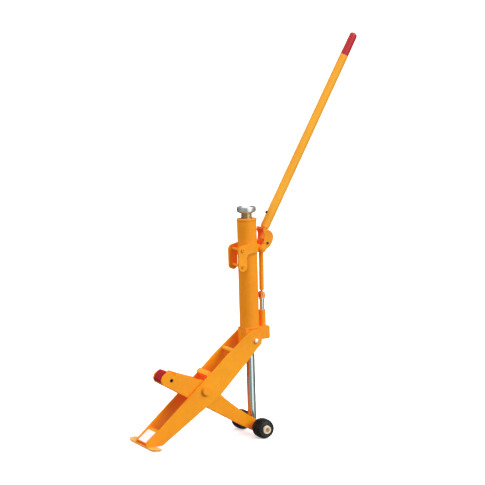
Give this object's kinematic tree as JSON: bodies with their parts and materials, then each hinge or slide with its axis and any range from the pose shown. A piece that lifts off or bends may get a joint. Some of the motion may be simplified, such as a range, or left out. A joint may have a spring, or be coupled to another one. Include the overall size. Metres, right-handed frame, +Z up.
{
  "type": "car jack",
  "caption": "Hydraulic scissor jack on wheels: toe arm and screw saddle raised by an upright ram, pumped with a long lever",
  "frame": {"origin": "middle of the foot plate underside, on the floor", "axes": "+X from the foot toward the wheels, +Z up, +Y across along the axle and the foot plate"},
  "size_m": [0.9176, 0.247, 1.5196],
  "materials": {
    "frame_paint": "glossy orange enamel on plate steel, slightly orange-peeled, chipped at the edges",
    "arm_paint": "glossy orange enamel on plate steel",
    "cylinder_paint": "glossy orange enamel on tube and castings",
    "lever_paint": "glossy orange enamel on steel tube",
    "toe_red": "thick red dip coating",
    "grip_red": "soft red grip sleeve",
    "label_white": "blank white sticker",
    "chrome": "hard chrome, polished",
    "cream_zinc": "pale yellow passivated zinc",
    "yellow_zinc": "yellow passivated zinc on steel",
    "bronze": "sintered bronze bush",
    "steel": "bright machined steel",
    "black_steel": "black oxide fasteners",
    "tyre_black": "solid black rubber tread",
    "seal": "black seal ring"
  },
  "bodies": {
    "lift_frame": {"frame_plate_near": "frame_paint", "frame_plate_far": "frame_paint", "foot_plate": "frame_paint", "foot_cross_plate": "frame_paint", "blank_label": "label_white", "cross_bar": "frame_paint", "cross_tube": "frame_paint", "pivot_shaft": "steel", "pivot_washers": "frame_paint", "pivot_clips": "frame_paint", "trunnion_bolts": "cream_zinc"},
    "lift_arm": {"arm_plate_near": "arm_paint", "arm_plate_far": "arm_paint", "arm_web": "arm_paint", "pivot_sleeve": "arm_paint", "pivot_bushes": "bronze", "toe_block": "arm_paint", "toe_cap": "toe_red", "toe_pin": "black_steel", "axle": "steel", "axle_spacers": "arm_paint", "axle_caps": "cream_zinc", "ram_spacers": "steel"},
    "wheel_near": {"tyre_near": "tyre_black", "hub_near": "cream_zinc"},
    "wheel_far": {"tyre_far": "tyre_black", "hub_far": "cream_zinc"},
    "ram": {"ram_rod": "chrome", "piston": "steel", "piston_seal": "seal"},
    "cylinder": {"cylinder_tube": "cylinder_paint", "pressure_tube": "steel", "top_cap": "cylinder_paint", "base_block": "cylinder_paint", "gland_nut": "steel", "trunnion_bushes": "bronze", "pump_barrel": "cylinder_paint", "filler_plug": "black_steel", "bracket_near": "cylinder_paint", "bracket_far": "cylinder_paint", "bracket_spacers": "cylinder_paint", "bracket_bolts": "cylinder_paint", "bracket_nuts": "steel", "fulcrum_pins": "steel"},
    "release_valve": {"release_screw": "steel"},
    "screw": {"saddle_screw": "yellow_zinc"},
    "saddle": {"saddle": "chrome"},
    "plunger": {"plunger": "chrome", "plunger_pin": "steel"},
    "link": {"link_rod": "lever_paint"},
    "lever": {"lever_head": "lever_paint", "lever_eye_bushes": "lever_paint", "link_pin": "steel", "side_screws": "black_steel", "lever_tube": "lever_paint", "lever_screw": "black_steel", "grip": "grip_red"}
  },
  "joints": [
    {"name": "scissor", "type": "hinge", "parent": "lift_frame", "child": "lift_arm", "pos_m": [0.2255, 0, 0.19545], "axis": [0, 1, 0], "range_deg": [-52.5, 31]},
    {"name": "cylinder_swing", "type": "hinge", "parent": "lift_frame", "child": "cylinder", "pos_m": [0.43659, 0, 0.367], "axis": [0, 1, 0], "range_deg": [-26.25, 15.5]},
    {"name": "ram_swing", "type": "hinge", "parent": "lift_arm", "child": "ram", "pos_m": [0.44694, 0, 0.0375], "axis": [0, 1, 0], "range_deg": [-15.5, 26.25]},
    {"name": "wheel_near_spin", "type": "hinge", "parent": "lift_arm", "child": "wheel_near", "pos_m": [0.44694, -0.087, 0.0375], "axis": [0, 1, 0], "continuous": true},
    {"name": "wheel_far_spin", "type": "hinge", "parent": "lift_arm", "child": "wheel_far", "pos_m": [0.44694, 0.087, 0.0375], "axis": [0, 1, 0], "continuous": true},
    {"name": "lever_swing", "type": "hinge", "parent": "cylinder", "child": "lever", "pos_m": [0.47679, 0, 0.71143], "axis": [0, 1, 0], "range_deg": [-8, 50]},
    {"name": "plunger_slide", "type": "slide", "parent": "cylinder", "child": "plunger", "axis": [-0.0314, 0, 0.9995], "range_m": [-0.0132, 0.0022]},
    {"name": "link_swing", "type": "hinge", "parent": "plunger", "child": "link", "pos_m": [0.48725, 0, 0.53767], "axis": [0, 1, 0], "range_deg": [-0.85, 5.25]},
    {"name": "release_turn", "type": "hinge", "parent": "cylinder", "child": "release_valve", "pos_m": [0.50205, 0.03, 0.38506], "axis": [0, 1, 0], "range_deg": [0, 270]},
    {"name": "screw_extend", "type": "slide", "parent": "cylinder", "child": "screw", "axis": [-0.0314, 0, 0.9995], "range_m": [0, 0.014]},
    {"name": "saddle_turn", "type": "hinge", "parent": "screw", "child": "saddle", "pos_m": [0.4211, 0, 0.85975], "axis": [-0.0314, 0, 0.9995], "continuous": true}
  ],
  "couplings": [
    {"joint": "cylinder_swing", "follows": "scissor", "ratio": 0.5},
    {"joint": "ram_swing", "follows": "scissor", "ratio": -0.5},
    {"joint": "plunger_slide", "follows": "lever_swing", "m_per_rad": -0.015},
    {"joint": "link_swing", "follows": "lever_swing", "ratio": 0.104}
  ]
}
